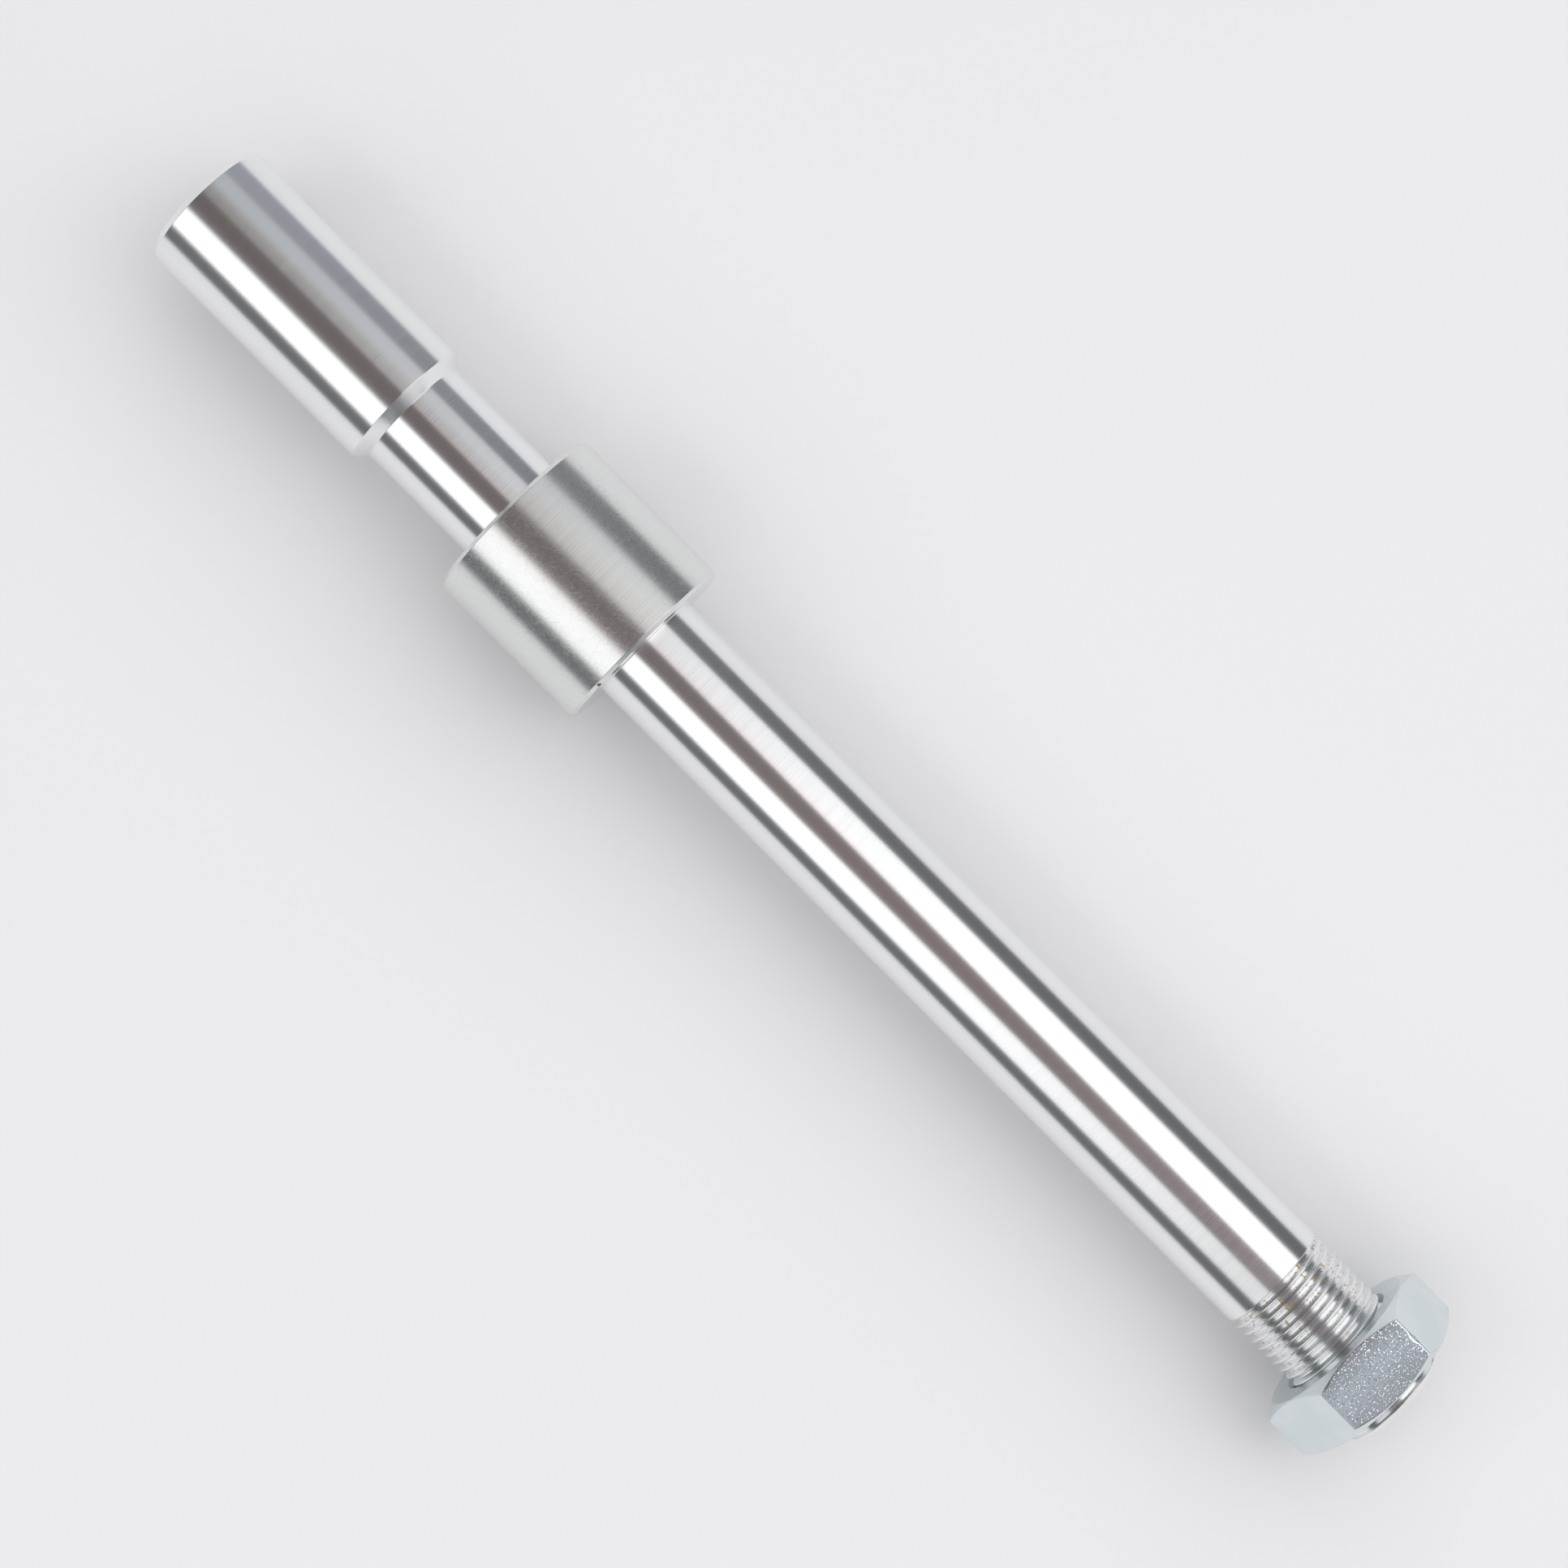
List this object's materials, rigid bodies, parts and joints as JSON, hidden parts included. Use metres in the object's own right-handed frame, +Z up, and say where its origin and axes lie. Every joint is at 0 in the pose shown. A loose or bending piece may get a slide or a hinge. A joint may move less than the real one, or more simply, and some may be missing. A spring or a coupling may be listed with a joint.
{
  "type": "cnc turned part",
  "caption": "Turned spindle with a plain cylindrical head, a wider collar and a long shaft whose threaded end carries a thin hexagon nut.",
  "frame": {"origin": "on the spindle's axis, in the plane of the collar's face that the long shaft leaves", "axes": "+X along the spindle towards its threaded end, +Z up as it lies on its collar and on one flat of the nut, +Y across"},
  "size_m": [0.263, 0.0324, 0.0318],
  "materials": {
    "turned_aluminium": "fine turned, bright",
    "zinc_plated_steel": "bright zinc plated"
  },
  "bodies": {
    "spindle": {"spindle": "turned_aluminium"},
    "nut": {"lock_nut": "zinc_plated_steel"}
  },
  "joints": [
    {"name": "nut_travel", "type": "slide", "parent": "spindle", "child": "nut", "axis": [1, 0, 0], "range_m": [-0.00953, 0.01905]}
  ]
}
